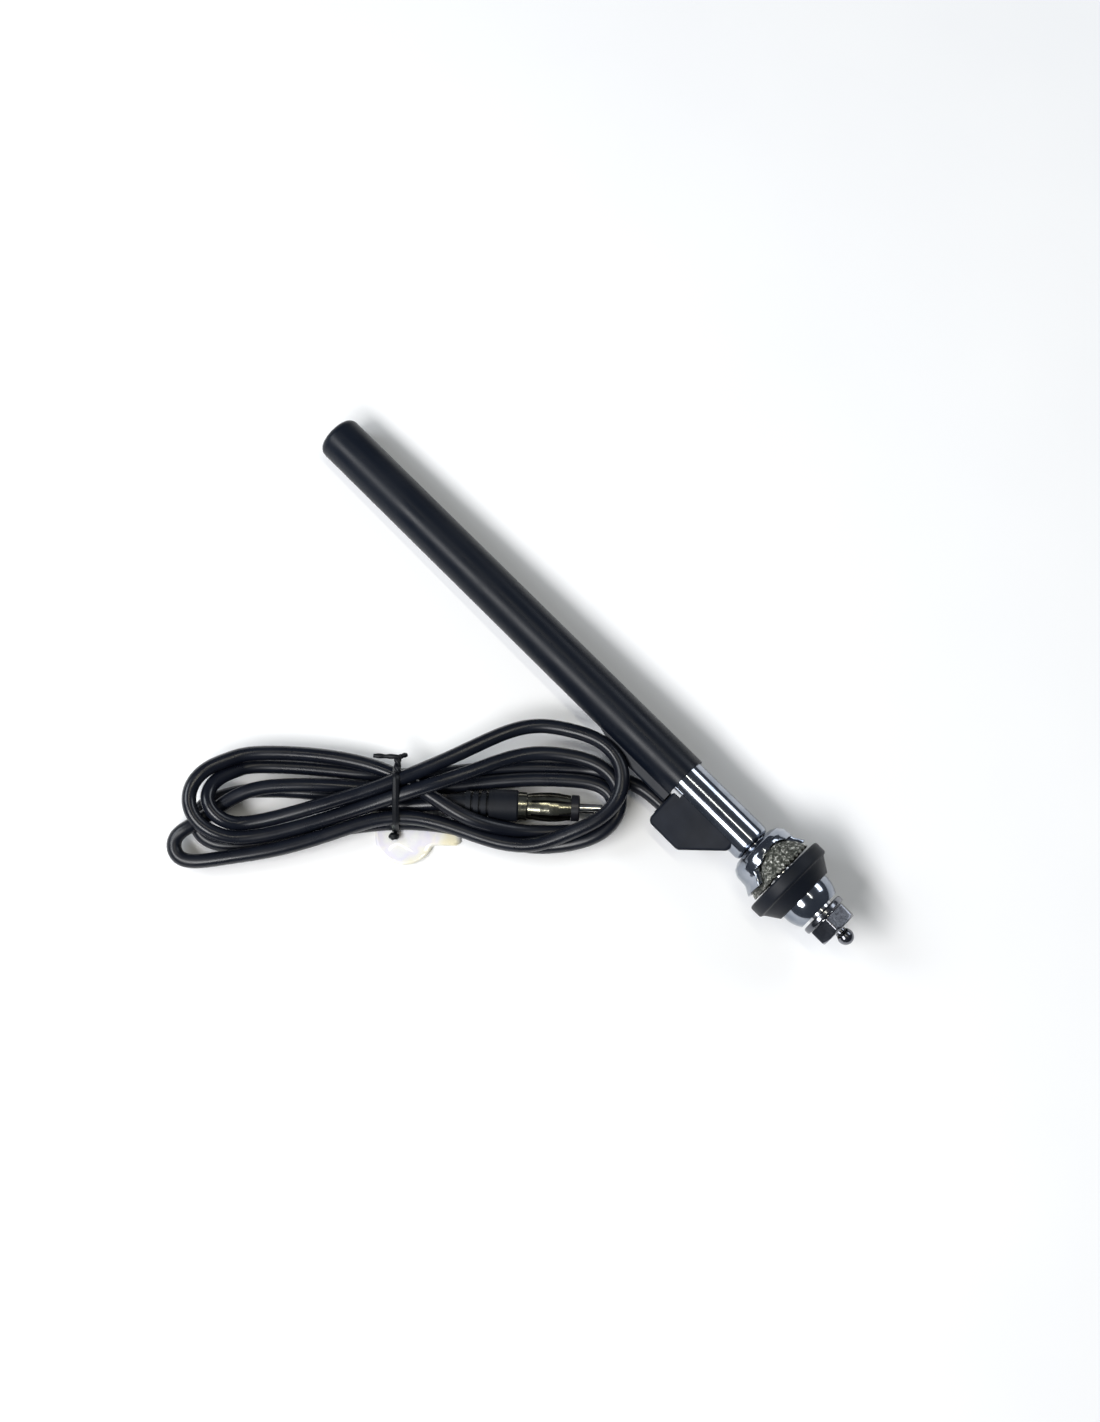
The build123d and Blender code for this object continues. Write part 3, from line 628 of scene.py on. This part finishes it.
def film_tag(look):
    """Round film tag: rings of points out to its edge, and a short tail on one side."""
    verts, faces = [], []
    layer = (TAG_RINGS + 1) * TAG_SIDES
    for side in (0, 1):
        for r in range(TAG_RINGS + 1):
            for k in range(TAG_SIDES):
                a = 2 * pi * k / TAG_SIDES
                edge = TAG_R
                if cos(a) > 0:
                    to_end = TAG_TAIL_END / max(cos(a), 1e-6)
                    to_side = TAG_TAIL_HALF / max(abs(sin(a)), 1e-6)
                    edge = max(TAG_R, min(to_end, to_side))
                reach = edge * r / TAG_RINGS
                u, w = TAG_MIDDLE[0] + reach * cos(a), TAG_MIDDLE[1] + reach * sin(a)
                curl = TAG_CURL * max(0.0, (TAG_CURL_START - w) / TAG_CURL_RUN) ** 2
                ripple = TAG_RIPPLE * (1 + sin(u * 0.5) * sin(w * 0.45))
                z = TAG_LIFT + curl + ripple * min(1.0, reach / 4) + TAG_THICK * side
                verts.append(hank_place(u, w, z))
        faces += ring_faces(TAG_RINGS + 1, TAG_SIDES, side * layer)
    rim = TAG_RINGS * TAG_SIDES
    for k in range(TAG_SIDES):
        m = (k + 1) % TAG_SIDES
        faces.append((rim + k, rim + m, layer + rim + m, layer + rim + k))
    mesh = mesh_from("blank_tag", verts, faces)
    bm = bmesh.new()
    bm.from_mesh(mesh)
    bmesh.ops.remove_doubles(bm, verts=bm.verts, dist=0.00001)
    bmesh.ops.recalc_face_normals(bm, faces=bm.faces)
    bm.to_mesh(mesh)
    bm.free()
    new_object("film_tag", mesh, look, ("blank_tag",))


def roughen(mesh, depth, scale):
    """Moves a mesh's surface in and out by noise: depth in millimetres, scale per millimetre."""
    outward = [vertex.normal.copy() for vertex in mesh.vertices]
    for vertex, normal in zip(mesh.vertices, outward):
        at = vertex.co / MM
        grit = noise.noise(at * scale) + 0.6 * noise.noise(at * scale * 2.3)
        vertex.co += normal * grit * depth * MM


def fine_copy(node, name, look, body, voxel, rounding, depth=0.0, scale=1.7):
    """A remeshed copy of a CAD node on voxels of some millimetres, rounded and maybe roughened."""
    source = frame["nodes"][node]
    piece = new_object(name, source.data.copy(), look, (node,), body)
    piece.matrix_world = source.matrix_world
    remesh = piece.modifiers.new("fine", "REMESH")
    remesh.mode = "VOXEL"
    remesh.voxel_size = voxel * MM
    smooth = piece.modifiers.new("round", "SMOOTH")
    smooth.factor = 0.5
    smooth.iterations = rounding
    graph = bpy.context.evaluated_depsgraph_get()
    fine = bpy.data.meshes.new_from_object(piece.evaluated_get(graph))
    piece.modifiers.clear()
    piece.data = fine
    if depth:
        roughen(fine, depth, scale)
    fine.shade_smooth()
    fine.materials.clear()
    fine.materials.append(look)


def build_head(looks):
    """The swivel head's castings, its rubber gasket and its nut, finer than the CAD nodes."""
    fine_copy("claw", "gritty_claw", looks["cast_zinc"], "claw", 0.3, 1, 0.12)
    fine_copy("swivel_saddle", "cast_saddle", looks["chrome"], ROOT, 0.25, 7, 0.03, 0.7)
    fine_copy("gasket", "moulded_gasket", looks["rubber"], "gasket", 0.28, 4)
    fine_copy("clamp_washer", "turned_washer", looks["nut_chrome"], "washer", 0.2, 3)
    fine_copy("hex_nut", "forged_nut", looks["nut_chrome"], "nut", 0.2, 4)


def dress_nodes(looks):
    """Gives every CAD node its finished material, by the record's own slots."""
    for subpart in frame["record"]["subparts"]:
        node = frame["nodes"][subpart["node"]]
        look = looks[subpart["material_slot"]]
        if not node.material_slots:
            node.data.materials.append(look)
        for holder in node.material_slots:
            holder.material = look


# ================================================================ room, light and camera
def area_light(name, place, target, size, power, colour=(1, 1, 1)):
    """A soft box of (width, height) metres pointing at a place."""
    data = bpy.data.lights.new(name, "AREA")
    data.shape = "RECTANGLE"
    data.size, data.size_y = size
    data.energy = power
    data.color = colour
    lamp = bpy.data.objects.new(name, data)
    lamp.location = place
    lamp.rotation_euler = (Vector(target) - Vector(place)).to_track_quat("-Z", "Y").to_euler()
    bpy.context.scene.collection.objects.link(lamp)


def build_room():
    """Pale floor, soft lights and a dim sky."""
    bpy.ops.mesh.primitive_plane_add(size=4.0, location=(0, 0, -0.0002))
    floor = bpy.context.object
    floor.name = "studio_floor"
    floor.data.materials.append(floor_paper())
    world = bpy.data.worlds.new("studio")
    bpy.context.scene.world = world
    world.use_nodes = True
    sky = world.node_tree.nodes["Background"]
    sky.inputs["Color"].default_value = (0.75, 0.84, 1.0, 1.0)
    sky.inputs["Strength"].default_value = 0.12
    area_light("key", (-0.07, -0.62, 0.80), (0, 0, 0), (0.8, 0.26), 9.6)
    area_light("right", (0.1, 0.85, 0.55), (0, 0, 0), (0.6, 0.3), 2.6, (0.9, 0.95, 1.0))
    area_light("left", (-0.75, -0.45, 0.7), (0, -0.03, 0), (0.4, 0.4), 3.6, (0.9, 0.95, 1.0))
    area_light("strip", (0.0, 0.12, 0.95), (0, 0, 0), (0.7, 0.03), 1.3, (1.0, 0.95, 0.78))
    bpy.context.scene.view_settings.view_transform = "Standard"


def build_camera():
    """The photograph's three-quarter view from nearly overhead."""
    data = bpy.data.cameras.new("camera")
    data.lens = 51.6
    data.sensor_width = 36.0
    data.clip_start = 0.01
    camera = bpy.data.objects.new("camera", data)
    target = Vector((-2.6, -12.2, 0.0)) * MM
    azimuth, elevation, distance = radians(45.49), radians(80.0), 0.667
    level = cos(elevation)
    toward = Vector((sin(azimuth) * level, -cos(azimuth) * level, sin(elevation)))
    camera.location = target + toward * distance
    camera.rotation_euler = (-toward).to_track_quat("-Z", "Y").to_euler()
    bpy.context.scene.collection.objects.link(camera)
    bpy.context.scene.camera = camera


# ================================================================ build
looks = make_looks()
dress_nodes(looks)
hank = hank_route()
cord, on_cord = build_cord(looks, hank)
build_tie(looks["tie_plastic"], hank)
film_tag(looks["tag_film"])
build_head(looks)
build_room()
build_camera()
